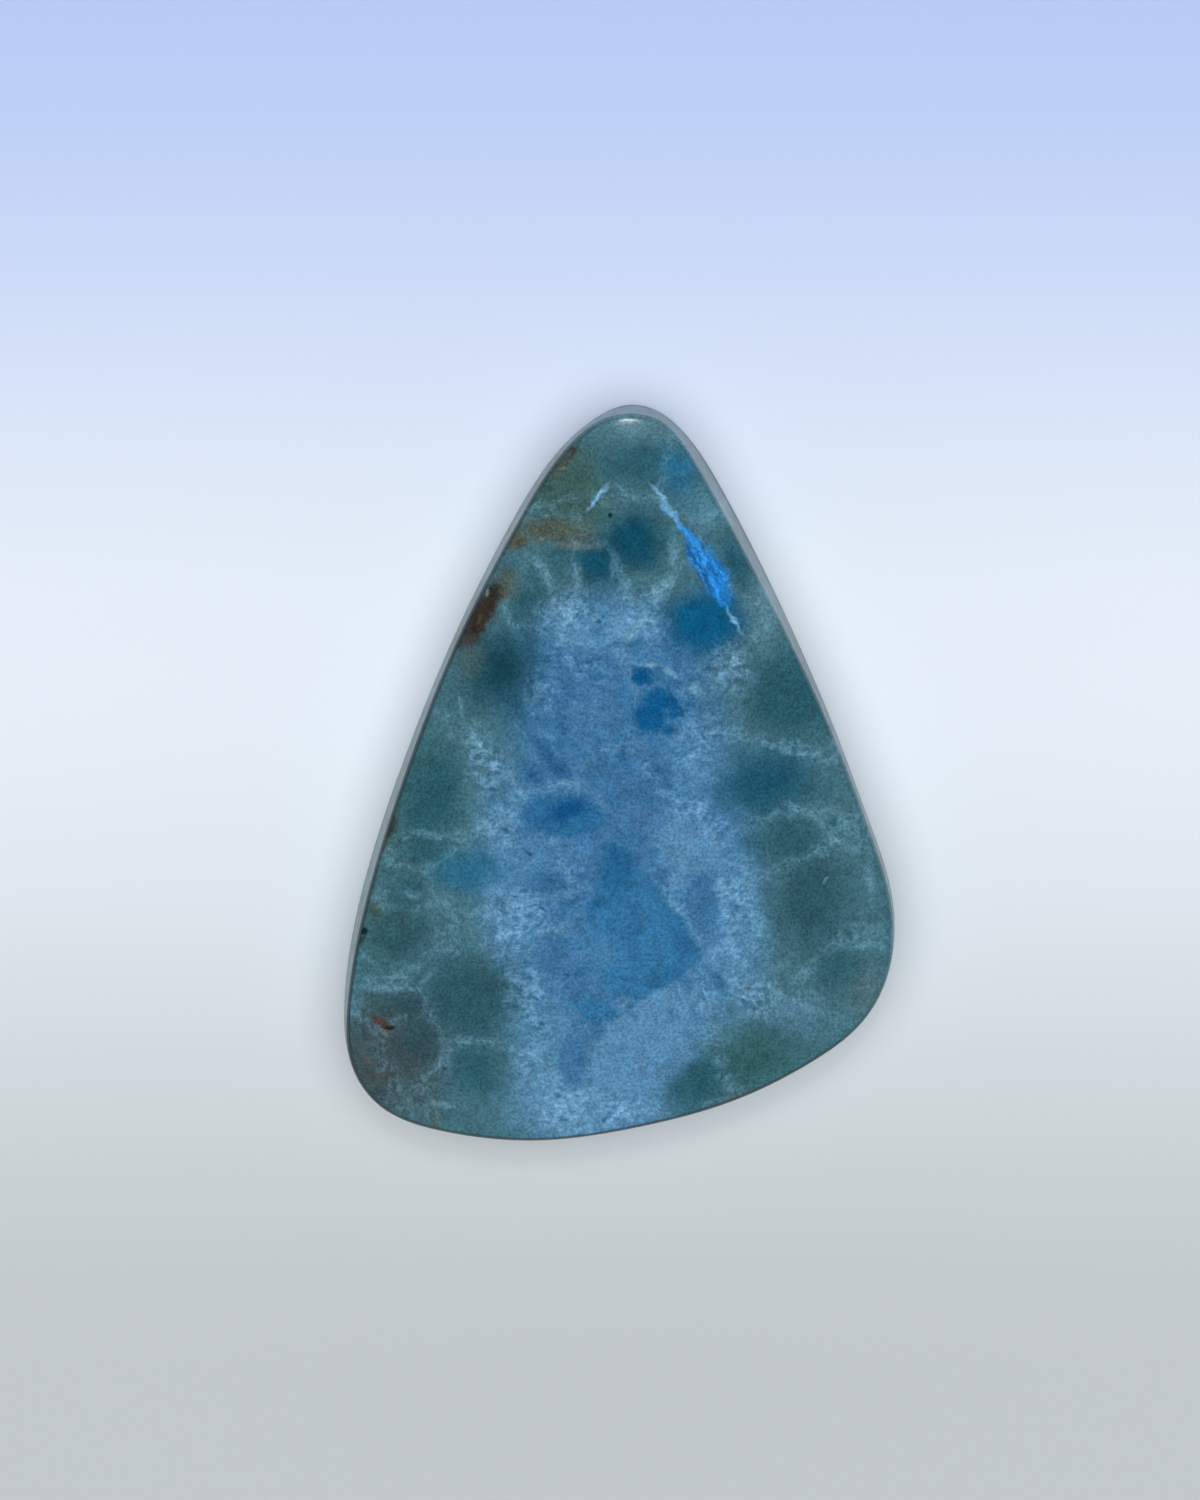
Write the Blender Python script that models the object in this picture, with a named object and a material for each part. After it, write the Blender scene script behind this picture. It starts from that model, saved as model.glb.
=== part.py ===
# Larimar cabochon: one freeform teardrop of polished blue pectolite, lying on its flat back.
# The tip points along +Y and the low polished dome looks up along +Z.
# The origin is on the surface that the stone lies on, under the middle of its outline.

import math

import bmesh
import bpy
import numpy as np

MM = 0.001

# Edge of the polished face, seen from above and clockwise from the tip.
# Each point is x, y and how far the wall flares out below it, all in mm.
FACE_EDGE = [
    (0.6, 21.3, 0.50),
    (2.35, 20.9, 0.38),
    (3.7, 19.5, 0.50),
    (5.6, 16.35, 0.65),
    (9.4, 9.2, 0.50),
    (12.8, 1.9, 0.29),
    (14.95, -3.7, 0.26),
    (16.2, -7.9, 0.35),
    (16.15, -11.8, 0.38),
    (14.6, -15.0, 0.38),
    (11.6, -17.45, 0.35),
    (7.0, -19.8, 0.34),
    (1.0, -21.5, 0.34),
    (-5.0, -22.3, 0.34),
    (-10.6, -21.75, 0.35),
    (-14.6, -20.1, 0.38),
    (-16.2, -17.6, 0.40),
    (-16.4, -14.2, 0.46),
    (-15.5, -8.8, 0.50),
    (-12.9, -0.2, 0.39),
    (-9.5, 8.35, 0.26),
    (-6.0, 15.05, 0.30),
    (-3.0, 19.5, 0.14),
    (-1.0, 21.0, 0.20),
]

# Heights above the flat back, in mm.
EDGE_HEIGHT = 4.8       # top of the wall, half way up the stone
TIP_DROP = 0.3          # the wall is this much lower at the tip, and as much higher at the foot
DOME_RISE = 1.5         # from the shoulder to the crown

# Other sizes, in mm.
SHOULDER_RADIUS = 0.45
BACK_BEVEL = 0.25
WALL_BULGE = 0.07
CROWN = (0.0, -4.0)     # highest point of the dome, seen from above
HALF_LENGTH = 22.0

DOME_POWER = 2.4        # above 2, the dome is flatter in the middle and steeper near its edge
SHOULDER_TURN = 76.0    # degrees that the shoulder turns through, which leaves the dome's first slope

BRIM_HEIGHT = EDGE_HEIGHT + SHOULDER_RADIUS * math.sin(math.radians(SHOULDER_TURN))

EDGE_STEPS = 128
WALL_STEPS = 4
SHOULDER_STEPS = 4
DOME_STEPS = 10

STONE_COLOUR = (0.055, 0.19, 0.33, 1.0)
STONE_ROUGHNESS = 0.12


def closed_curve(points, count):
    """Read a smooth closed curve through the points at even steps: a periodic cubic spline."""
    knots = np.array(points, dtype=float)
    after = np.roll(knots, -1, axis=0)
    spans = np.linalg.norm(after[:, :2] - knots[:, :2], axis=1)
    total = len(knots)

    # The bend at each point follows from a slope that is the same on both sides of it.
    system = np.zeros((total, total))
    sides = np.zeros_like(knots)
    for here in range(total):
        before = (here - 1) % total
        ahead = (here + 1) % total
        system[here, before] += spans[before]
        system[here, here] += 2.0 * (spans[before] + spans[here])
        system[here, ahead] += spans[here]
        rise_ahead = (knots[ahead] - knots[here]) / spans[here]
        rise_before = (knots[here] - knots[before]) / spans[before]
        sides[here] = 6.0 * (rise_ahead - rise_before)
    bends = np.linalg.solve(system, sides)

    starts = np.concatenate([[0.0], np.cumsum(spans)])
    samples = []
    for step in range(count):
        place = starts[-1] * step / count
        here = int(np.searchsorted(starts, place, side="right")) - 1
        ahead = (here + 1) % total
        span = spans[here]
        near = (place - starts[here]) / span
        far = 1.0 - near
        samples.append(
            far * knots[here] + near * knots[ahead]
            + span ** 2 / 6.0 * ((far ** 3 - far) * bends[here] + (near ** 3 - near) * bends[ahead])
        )
    return np.array(samples)


def outward_normals(outline):
    """Directions square to a clockwise outline, pointing away from the stone."""
    along = np.roll(outline, -1, axis=0) - np.roll(outline, 1, axis=0)
    along /= np.linalg.norm(along, axis=1)[:, None]
    return np.column_stack([-along[:, 1], along[:, 0]])


def stone_rings():
    """The stone's rings from the back to just below the crown, each a list of x, y, z in mm."""
    curve = closed_curve(FACE_EDGE, EDGE_STEPS)
    edge = curve[:, :2]
    flare = curve[:, 2:3]
    normals = outward_normals(edge)
    edge_height = EDGE_HEIGHT - TIP_DROP * edge[:, 1] / HALF_LENGTH
    rings = []

    # The flat back ends in a narrow bevel.
    rings.append(np.column_stack([edge + normals * (flare - BACK_BEVEL), np.zeros(EDGE_STEPS)]))

    # The wall leans in as it rises, and bulges a little.
    for step in range(WALL_STEPS + 1):
        climb = step / WALL_STEPS
        out = flare * (1.0 - climb) + WALL_BULGE * math.sin(math.pi * climb)
        height = BACK_BEVEL + (edge_height - BACK_BEVEL) * climb
        rings.append(np.column_stack([edge + normals * out, height]))

    # The shoulder turns from the wall to the dome.
    for step in range(1, SHOULDER_STEPS + 1):
        angle = math.radians(SHOULDER_TURN) * step / SHOULDER_STEPS
        inset = SHOULDER_RADIUS * (1.0 - math.cos(angle))
        height = edge_height + SHOULDER_RADIUS * math.sin(angle)
        rings.append(np.column_stack([edge - normals * inset, height]))

    # The dome's rings shrink towards the crown.
    brim = rings[-1]
    crown = np.array(CROWN)
    for step in range(1, DOME_STEPS):
        size = 1.0 - step / DOME_STEPS
        base = BRIM_HEIGHT + (brim[:, 2] - BRIM_HEIGHT) * size
        height = base + DOME_RISE * (1.0 - size ** DOME_POWER)
        rings.append(np.column_stack([crown + (brim[:, :2] - crown) * size, height]))
    return rings


def polished_pectolite():
    """Blue pectolite with a high polish."""
    material = bpy.data.materials.new("polished pectolite")
    material.use_nodes = True
    shader = material.node_tree.nodes["Principled BSDF"]
    shader.inputs["Base Color"].default_value = STONE_COLOUR
    shader.inputs["Roughness"].default_value = STONE_ROUGHNESS
    shader.inputs["Metallic"].default_value = 0.0
    return material


def make_cabochon():
    """The whole stone, as one closed solid."""
    mesh = bpy.data.meshes.new("larimar_cabochon")
    build = bmesh.new()
    rings = stone_rings()

    # The middle of the whole outline goes over the origin.
    every = np.vstack(rings)
    middle = (every[:, :2].min(axis=0) + every[:, :2].max(axis=0)) / 2.0
    loops = []
    for ring in rings:
        loops.append([
            build.verts.new(((x - middle[0]) * MM, (y - middle[1]) * MM, z * MM))
            for x, y, z in ring
        ])

    for lower, upper in zip(loops, loops[1:]):
        for step in range(EDGE_STEPS):
            ahead = (step + 1) % EDGE_STEPS
            build.faces.new((lower[step], upper[step], upper[ahead], lower[ahead]))

    crown = build.verts.new((
        (CROWN[0] - middle[0]) * MM,
        (CROWN[1] - middle[1]) * MM,
        (BRIM_HEIGHT + DOME_RISE) * MM,
    ))
    for step in range(EDGE_STEPS):
        ahead = (step + 1) % EDGE_STEPS
        build.faces.new((loops[-1][step], crown, loops[-1][ahead]))
    build.faces.new(loops[0])

    bmesh.ops.recalc_face_normals(build, faces=build.faces)
    build.to_mesh(mesh)
    build.free()
    mesh.shade_smooth()
    mesh.set_sharp_from_angle(angle=math.radians(30.0))
    mesh.materials.append(polished_pectolite())
    stone = bpy.data.objects.new("larimar_cabochon", mesh)
    bpy.context.scene.collection.objects.link(stone)
    return stone


def main():
    for old in list(bpy.data.objects):
        bpy.data.objects.remove(old, do_unlink=True)
    make_cabochon()


main()
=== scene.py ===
# Larimar cabochon: the looks of one freeform teardrop of polished blue pectolite.
# Its pattern is placed in millimetres from the frame's origin, with the tip along +Y.

import math

import bpy
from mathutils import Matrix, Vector


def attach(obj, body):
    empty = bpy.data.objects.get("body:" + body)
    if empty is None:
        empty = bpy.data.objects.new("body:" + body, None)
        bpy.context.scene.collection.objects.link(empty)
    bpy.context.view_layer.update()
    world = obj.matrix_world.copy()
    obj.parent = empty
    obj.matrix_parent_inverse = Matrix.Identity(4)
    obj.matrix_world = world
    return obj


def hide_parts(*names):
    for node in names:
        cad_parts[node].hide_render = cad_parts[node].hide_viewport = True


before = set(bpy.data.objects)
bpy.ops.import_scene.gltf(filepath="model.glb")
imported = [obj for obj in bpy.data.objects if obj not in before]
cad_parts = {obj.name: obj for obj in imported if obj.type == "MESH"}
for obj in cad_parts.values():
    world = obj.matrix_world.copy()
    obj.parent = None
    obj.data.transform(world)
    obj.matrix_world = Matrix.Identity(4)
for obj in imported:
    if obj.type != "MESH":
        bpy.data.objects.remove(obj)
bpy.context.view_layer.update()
mm = 0.001
print("frame loaded:", sorted(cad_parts))


def linearColour(hexCode):
    # sRGB hex to the linear numbers that Blender's sockets take
    channels = [int(hexCode[place:place + 2], 16) / 255.0 for place in (1, 3, 5)]
    linear = [c / 12.92 if c <= 0.04045 else ((c + 0.055) / 1.055) ** 2.4 for c in channels]
    return (*linear, 1.0)


def addNode(tree, kind, settings, inputs):
    # one node, with its settings and what goes into each socket
    made = tree.nodes.new(kind)
    for name, value in settings.items():
        setattr(made, name, value)
    for socket, value in inputs.items():
        if isinstance(value, bpy.types.NodeSocket):
            tree.links.new(value, made.inputs[socket])
        else:
            made.inputs[socket].default_value = value
    return made


# Camera

cameraSetup = {
    "lookAt": (-1.136, 1.557, 3.2),   # mm, seen in the middle of the picture
    "distance": 205.2,                # mm
    "tilt": 6.5,                      # degrees off straight down, leaning towards the tip
    "lens": 82.16,                    # mm, on a 36 mm sensor
}


def makeCamera(setup):
    tilt = math.radians(setup["tilt"])
    away = Vector((0.0, math.sin(tilt), math.cos(tilt)))
    place = (Vector(setup["lookAt"]) + away * setup["distance"]) * mm
    bpy.ops.object.camera_add(location=place, rotation=(-tilt, 0.0, 0.0))
    camera = bpy.context.object
    camera.name = "camera"
    camera.data.lens = setup["lens"]
    camera.data.clip_start = 0.01
    camera.data.clip_end = 20.0
    bpy.context.scene.camera = camera


# Floor

# Painted light: the floor runs from grey in front of the foot to pale blue behind the tip, standing in for light
# falling unevenly across it.
floorSetup = {
    "halfSize": 1.5,            # m
    "tipEnd": "#b9cdf8",        # pale blue behind the tip
    "middle": "#eaf2fb",
    "footEnd": "#c6cccc",       # pale grey in front of the foot
    "roughness": 0.9,
}


def makeFloor(setup):
    bpy.ops.mesh.primitive_plane_add(size=2.0 * setup["halfSize"], location=(0.0, 0.0, 0.0))
    floor = bpy.context.object
    floor.name = "floor"
    material = bpy.data.materials.new("matt paper")
    material.use_nodes = True
    tree = material.node_tree
    shader = tree.nodes["Principled BSDF"]
    shader.inputs["Roughness"].default_value = setup["roughness"]
    shader.inputs["Specular IOR Level"].default_value = 0.1
    place = addNode(tree, "ShaderNodeTexCoord", {}, {})
    split = addNode(tree, "ShaderNodeSeparateXYZ", {}, {0: place.outputs["Object"]})
    ramp = addNode(tree, "ShaderNodeValToRGB", {}, {})
    along = addNode(tree, "ShaderNodeMapRange", {}, {
        "Value": split.outputs["Y"], "From Min": -0.038, "From Max": 0.050,
    })
    tree.links.new(along.outputs[0], ramp.inputs["Fac"])
    ramp.color_ramp.interpolation = "EASE"
    ramp.color_ramp.elements[0].color = linearColour(setup["footEnd"])
    ramp.color_ramp.elements[1].color = linearColour(setup["tipEnd"])
    ramp.color_ramp.elements.new(0.5).color = linearColour(setup["middle"])
    tree.links.new(ramp.outputs["Color"], shader.inputs["Base Color"])
    floor.data.materials.append(material)


# Light

lightSetup = {
    # the air is dim, and bright only near the horizon, so the polished face mirrors little of it
    "air": {"overhead": "#2a2f34", "low": "#f4f8ff", "lowBelow": 0.10, "overheadAbove": 0.45},
    "strength": 1.0,
    # name: degrees from straight up, compass degrees from the tip, distance m, size m, watts,
    # and whether the polish mirrors it
    "lamps": {
        "overhead softbox": (0.0, 0.0, 0.90, 1.30, 10.2, False),
        "tip softbox": (25.0, 0.0, 0.60, 0.06, 0.13, True),
    },
}


def makeLight(setup):
    world = bpy.data.worlds.new("studio air")
    bpy.context.scene.world = world
    world.use_nodes = True
    tree = world.node_tree
    sky = tree.nodes["Background"]
    sky.inputs["Strength"].default_value = setup["strength"]
    air = setup["air"]
    place = addNode(tree, "ShaderNodeTexCoord", {}, {})
    split = addNode(tree, "ShaderNodeSeparateXYZ", {}, {0: place.outputs["Generated"]})
    height = addNode(tree, "ShaderNodeMapRange", {"interpolation_type": "SMOOTHSTEP", "clamp": False}, {
        "Value": split.outputs["Z"], "From Min": air["lowBelow"], "From Max": air["overheadAbove"],
    })
    mixed = addNode(tree, "ShaderNodeMix", {"data_type": "RGBA"}, {
        0: height.outputs[0], 6: linearColour(air["low"]), 7: linearColour(air["overhead"]),
    })
    tree.links.new(mixed.outputs[2], sky.inputs["Color"])
    for name, (polar, compass, distance, size, watts, mirrored) in setup["lamps"].items():
        polar = math.radians(polar)
        compass = math.radians(compass)
        away = Vector((
            math.sin(polar) * math.sin(compass), math.sin(polar) * math.cos(compass), math.cos(polar),
        ))
        turn = away.to_track_quat("Z", "Y").to_euler()
        bpy.ops.object.light_add(type="AREA", location=away * distance, rotation=turn)
        lamp = bpy.context.object
        lamp.name = name
        lamp.data.shape = "DISK"
        lamp.data.size = size
        lamp.data.energy = watts
        lamp.visible_glossy = mirrored


# Stone

stonePalette = {
    "rimTeal": "#426e7a",
    "leafTeal": "#386468",
    "greyTeal": "#3e5155",
    "greyMoss": "#4f7077",
    "greyCyan": "#5d8a98",
    "olive": "#395a54",
    "tipMist": "#5c8894",
    "mistCyan": "#52899d",
    "mistBlue": "#4f88ae",
    "mistPale": "#568ab0",
    "paleBlue": "#366f9c",
    "violetBlue": "#386f9b",
    "violetMist": "#4475a2",
    "violetGrey": "#4f7b95",
    "duskBlue": "#2b6692",
    "strokeBlue": "#1f5c8c",
    "frost": "#77a8ce",
    "vein": "#74a7c0",
    "poolTop": "#1b608e",
    "poolBlue": "#2f729f",
    "poolDark": "#266591",
    "eyeLight": "#236694",
    "eyeCore": "#025286",
    "dotBlue": "#005688",
    "inkBlue": "#00577f",
    "oceanBlue": "#1f688c",
    "tipTeal": "#215666",
    "deepTeal": "#064a61",
    "deepGreen": "#11424f",
    "seaGreen": "#275865",
    "heartGreen": "#2a5560",
    "lakeTeal": "#17546a",
    "slate": "#2c4d57",
    "moss": "#315d60",
    "stipple": "#1f5478",
    # painted reflection: colours of the bright blue streak of mirrored light near the right shoulder
    "reflectionShade": "#0a4f86",
    "reflectionDeep": "#0f63a8",
    "reflectionBlue": "#1080d2",
    "reflectionBright": "#2d99f0",
    "reflectionPale": "#78b0d8",
    "khaki": "#505c50",
    "khakiDark": "#484f48",
    "sand": "#7a8276",
    "rust": "#37302a",
    "rustDark": "#241d19",
    "ember": "#503d30",
    # painted reflection: the wall's pale colour stands in for the bright floor mirrored in it
    "wallPaleReflection": "#b6c4c5",
    "wallEdge": "#33403f",
    "ochre": "#544b3e",
    # dark specks, and the painted shade line on the shoulder
    "inkSpeckAndShade": "#0e272c",
}

stonePattern = {
    # soft ellipses: x, y, half width, half length in mm, turn in degrees, colour, strength, core
    "zones": [
        (-12.4, -1.0, 3.0, 9.0, -20, "leafTeal", 0.85, 0.2),
        (-3.2, 17.4, 3.9, 4.6, 20, "olive", 0.90, 0.25),
        (0.9, 21.2, 3.2, 1.9, 0, "tipMist", 0.80, 0.1),
        (5.4, 16.2, 2.6, 1.7, -30, "mistCyan", 0.70, 0.1),
        (8.4, 10.8, 2.0, 4.4, 20, "greyCyan", 0.60, 0.1),
        (0.3, -4.5, 9.4, 16.0, 0, "paleBlue", 1.00, 0.55),
        (-0.8, 6.0, 8.0, 7.0, 0, "paleBlue", 1.00, 0.45),
        (-6.4, -5.0, 3.4, 8.5, 0, "mistBlue", 0.70, 0.2),
        (-4.8, -14.5, 3.2, 6.0, 10, "mistBlue", 0.75, 0.2),
        (6.6, -8.5, 3.6, 7.5, 0, "mistBlue", 0.80, 0.2),
        (4.6, 0.8, 3.0, 4.0, 20, "mistBlue", 0.65, 0.1),
        (-1.5, -19.0, 7.6, 4.4, 0, "mistPale", 0.90, 0.3),
        (0.0, 9.6, 5.6, 2.4, 0, "mistBlue", 0.65, 0.1),
        (-1.4, 4.6, 1.8, 2.8, 0, "violetMist", 0.60, 0.1),
        (-3.3, -4.0, 2.6, 2.0, 0, "violetMist", 0.60, 0.1),
        (-13.8, -16.4, 5.0, 6.0, -20, "greyTeal", 1.00, 0.3),
        (10.2, -14.0, 3.2, 2.0, 30, "violetGrey", 0.80, 0.2),
        (14.5, -12.3, 1.8, 2.6, -10, "greyMoss", 0.80, 0.2),
        (-13.6, -8.4, 2.8, 3.2, 0, "olive", 0.60, 0.2),
    ],
    # dark hearts, from which pale needles spray out
    "hearts": [
        (1.2, 19.2, 3.4, 2.4, 0, "tipTeal", 0.85, 0.1),
        (3.4, 18.5, 1.9, 2.4, 20, "oceanBlue", 0.85, 0.1),
        (0.85, 14.6, 2.9, 2.7, 0, "deepTeal", 1.00, 0.22),
        (-1.25, 13.2, 1.9, 2.2, 0, "deepTeal", 0.95, 0.2),
        (-3.4, 13.5, 1.4, 1.4, 0, "seaGreen", 0.75, 0.1),
        (-5.2, 10.9, 1.9, 2.2, 0, "seaGreen", 0.90, 0.1),
        (5.0, 9.8, 3.5, 2.7, 10, "inkBlue", 1.00, 0.35),
        (6.9, 13.0, 1.3, 2.6, 30, "deepTeal", 0.75, 0.1),
        (-6.8, 6.8, 4.4, 3.8, 20, "deepGreen", 1.00, 0.0),
        (-10.9, -0.6, 2.6, 4.2, -10, "seaGreen", 1.00, 0.2),
        (-11.2, -3.8, 2.2, 1.5, 0, "seaGreen", 0.75, 0.1),
        (-12.6, -6.2, 2.0, 1.5, 30, "seaGreen", 0.65, 0.1),
        (-13.1, -8.8, 2.8, 2.6, 0, "heartGreen", 0.85, 0.1),
        (-8.9, -4.9, 3.0, 2.0, 10, "oceanBlue", 0.85, 0.1),
        (-8.8, -12.7, 4.6, 4.0, 0, "heartGreen", 0.98, 0.25),
        (-8.5, -17.0, 2.8, 2.8, 0, "seaGreen", 0.85, 0.1),
        (-13.0, -13.0, 1.9, 1.6, 0, "slate", 0.80, 0.1),
        (-12.0, -14.9, 1.8, 2.6, 20, "slate", 0.80, 0.1),
        (10.0, 5.3, 3.8, 4.4, 20, "seaGreen", 1.00, 0.2),
        (8.8, 0.3, 4.8, 3.2, 0, "lakeTeal", 0.98, 0.15),
        (10.0, -3.2, 3.6, 2.4, 0, "seaGreen", 0.85, 0.1),
        (11.5, -6.9, 3.4, 5.0, 0, "heartGreen", 0.95, 0.2),
        (13.1, -10.8, 2.2, 2.4, 0, "seaGreen", 0.75, 0.1),
        (8.2, -16.2, 4.0, 2.8, 20, "moss", 0.95, 0.15),
        (4.6, -17.6, 3.4, 3.0, 0, "seaGreen", 0.95, 0.15),
        (0.4, -1.6, 2.4, 2.2, 0, "violetMist", 0.25, 0.1),
    ],
    # where the white needles show most
    "frost": [
        (-2.9, 10.4, 2.6, 1.8, 0, "frost", 0.75, 0.1),
        (1.2, 9.8, 2.8, 1.9, 20, "frost", 0.80, 0.1),
        (-2.4, 7.6, 3.6, 1.8, 0, "frost", 0.45, 0.1),
        (4.6, 2.6, 2.6, 3.6, 20, "frost", 0.65, 0.1),
        (6.6, 7.0, 2.2, 2.6, 20, "frost", 0.70, 0.1),
        (4.4, -2.4, 2.8, 3.0, 0, "frost", 0.85, 0.2),
        (7.0, -8.0, 2.6, 5.6, 0, "frost", 0.80, 0.2),
        (7.6, -12.4, 3.6, 2.2, -20, "frost", 0.80, 0.1),
        (-7.8, 1.2, 1.8, 3.2, 20, "frost", 0.75, 0.1),
        (-7.0, -2.2, 2.0, 2.8, 0, "frost", 0.75, 0.1),
        (-6.2, -8.0, 3.4, 3.0, 30, "frost", 0.90, 0.1),
        (-5.4, -12.2, 1.8, 4.0, 10, "frost", 0.80, 0.1),
        (-5.0, -17.2, 1.9, 3.4, 0, "frost", 0.75, 0.1),
        (-1.8, -19.6, 5.6, 2.2, 0, "frost", 0.95, 0.3),
        (3.6, -13.2, 3.0, 1.8, 20, "frost", 0.80, 0.1),
        (-4.4, 5.6, 1.8, 2.4, 0, "frost", 0.40, 0.1),
        (-10.0, -9.4, 1.8, 1.6, 30, "frost", 0.30, 0.1),
    ],
    # the needles fade out beyond this one
    "fringeWithin": (1.0, -4.0, 15.0, 20.0, 10, "frost", 1.00, 0.6),
    # straight-sided cells, clockwise: x, y and how soft the side is that starts there, all in mm
    "kite": [
        (-0.45, -2.9, 0.20), (2.45, -6.15, 0.25), (3.9, -8.0, 0.25), (4.95, -10.1, 0.25),
        (3.15, -11.6, 0.30), (1.2, -12.7, 0.40), (-0.6, -12.0, 0.80), (-1.9, -9.0, 1.00),
        (-1.9, -6.8, 0.35), (-1.05, -4.3, 0.20),
    ],
    "fan": [
        (-0.45, -14.2, 0.35), (1.4, -12.6, 0.40), (3.3, -11.6, 2.00), (5.5, -13.5, 2.00),
        (4.5, -16.0, 2.00), (1.5, -19.0, 1.50), (-1.45, -18.3, 0.40), (-1.4, -15.4, 0.45),
    ],
    "kiteTones": [
        (-0.1, -4.8, 1.5, 2.4, 0, "poolTop", 0.85, 0.2),
        (3.9, -9.3, 1.6, 1.2, -30, "poolDark", 0.70, 0.1),
        (2.4, -11.4, 2.2, 0.9, 30, "poolDark", 0.80, 0.1),
        (0.4, -8.6, 2.0, 0.5, 50, "poolDark", 0.40, 0.1),
        (-1.2, -6.9, 0.8, 0.6, 0, "poolTop", 0.80, 0.2),
        (-0.9, -9.6, 1.5, 1.9, 20, "mistBlue", 0.40, 0.1),
        (1.8, -9.95, 0.3, 0.25, 0, "poolTop", 0.50, 0.1),
        (0.4, -11.4, 0.5, 0.3, 0, "poolTop", 0.60, 0.1),
    ],
    "patches": [
        (4.0, -3.4, 3.2, 2.2, -40, "mistPale", 0.95, 0.45),
        (1.3, -1.7, 2.2, 1.2, -10, "violetMist", 0.75, 0.5),
        (4.9, -6.9, 1.3, 2.3, 10, "violetBlue", 0.90, 0.6),
        (5.6, -8.9, 1.2, 1.0, 0, "violetMist", 0.60, 0.2),
        (-4.3, -5.6, 1.9, 1.1, -10, "duskBlue", 0.65, 0.2),
        (-3.4, -1.6, 2.8, 1.45, 0, "eyeLight", 0.95, 0.70),
        (-3.1, -1.35, 1.8, 0.85, 20, "eyeCore", 0.98, 0.2),
        (-1.5, -13.2, 1.6, 0.85, -20, "poolBlue", 0.95, 0.6),
        (-2.7, -16.6, 1.3, 2.3, 0, "violetBlue", 0.80, 0.4),
        (2.2, 4.7, 2.0, 1.9, 0, "poolBlue", 0.95, 0.5),
        (1.8, 4.2, 1.25, 1.15, 0, "dotBlue", 0.98, 0.5),
        (2.3, 5.3, 1.1, 0.8, 0, "dotBlue", 0.92, 0.45),
        (2.95, 5.1, 0.7, 0.6, 0, "dotBlue", 0.98, 0.4),
        (3.45, 4.5, 0.75, 0.6, 0, "dotBlue", 0.90, 0.35),
        (2.9, 3.4, 0.65, 0.5, 0, "dotBlue", 0.90, 0.2),
        (1.35, 6.6, 1.05, 0.7, 0, "dotBlue", 1.00, 0.45),
        (2.2, 6.6, 0.5, 0.5, 0, "poolBlue", 0.80, 0.3),
        (3.2, 6.2, 0.5, 0.5, 0, "duskBlue", 0.80, 0.3),
        (4.2, 5.0, 0.55, 0.5, 0, "duskBlue", 0.90, 0.2),
        (3.4, 7.4, 0.4, 0.35, 0, "duskBlue", 0.80, 0.2),
        (5.0, 6.4, 0.5, 0.4, 0, "duskBlue", 0.70, 0.2),
        (6.4, 6.5, 0.4, 0.25, 20, "duskBlue", 0.80, 0.2),
        (0.4, 5.5, 0.6, 0.9, 0, "poolBlue", 0.50, 0.2),
        (0.8, 8.6, 1.0, 0.42, 20, "duskBlue", 0.85, 0.2),
        (2.9, 0.2, 1.1, 0.5, -30, "duskBlue", 0.80, 0.2),
        (-1.3, 6.7, 0.6, 0.5, 0, "duskBlue", 0.55, 0.2),
        (-5.4, -2.5, 1.0, 0.6, 0, "duskBlue", 0.50, 0.2),
    ],
    # thin lines: from x, y to x, y, half width in mm, colour, strength
    "strokes": [
        (-5.4, 3.6, -3.2, 0.6, 0.42, "strokeBlue", 0.80),
        (-3.9, 4.1, -2.9, 3.0, 0.35, "strokeBlue", 0.60),
        (-6.1, 1.5, -4.0, -0.1, 0.50, "strokeBlue", 0.85),
        (-4.2, 1.7, -2.5, 0.1, 0.55, "strokeBlue", 0.75),
        (0.7, 3.4, -0.3, 1.0, 0.40, "strokeBlue", 0.60),
        (1.5, 1.9, 3.0, 0.5, 0.35, "strokeBlue", 0.55),
        (5.3, -10.4, 6.7, -12.4, 0.50, "duskBlue", 0.95),
        (0.5, -13.5, 1.3, -14.0, 0.16, "duskBlue", 0.80),
        (2.9, -13.0, 3.3, -14.2, 0.12, "duskBlue", 0.50),
        (4.2, -13.0, 4.9, -14.3, 0.14, "duskBlue", 0.55),
        (6.9, -12.3, 8.2, -13.6, 0.14, "duskBlue", 0.45),
        (-0.2, -15.4, 1.6, -18.4, 0.18, "mistBlue", 0.70),
        (0.9, -15.2, 2.8, -17.4, 0.18, "mistBlue", 0.70),
        (1.8, -14.2, 3.6, -16.2, 0.16, "mistBlue", 0.70),
    ],
    "veins": [
        (3.3, 14.9, 3.1, 12.6, 0.36, "vein", 0.60),
        (3.1, 12.9, 1.9, 10.6, 0.40, "vein", 0.75),
        (1.9, 10.8, 0.0, 8.1, 0.42, "vein", 0.75),
        (-2.4, 13.4, -2.5, 11.4, 0.26, "vein", 0.55),
        (-0.4, 13.9, -0.3, 12.2, 0.20, "vein", 0.40),
        (-4.9, 13.6, -3.8, 11.4, 0.30, "vein", 0.55),
        (-3.9, 11.4, -2.5, 9.3, 0.32, "vein", 0.75),
        (-5.0, 8.9, -0.6, 8.4, 0.36, "vein", 0.45),
        (-9.6, 5.8, -9.2, 3.9, 0.13, "vein", 0.60),
        (-9.2, 4.0, -7.9, 1.6, 0.18, "vein", 0.60),
        (1.0, 7.3, 2.4, 7.4, 0.16, "vein", 0.80),
        (2.3, 7.5, 3.6, 6.3, 0.17, "vein", 0.80),
        (3.8, 6.3, 5.4, 5.2, 0.26, "vein", 0.70),
        (5.8, 6.2, 7.3, 7.9, 0.22, "vein", 0.65),
        (8.0, 2.8, 9.6, 2.2, 0.22, "vein", 0.50),
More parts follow.
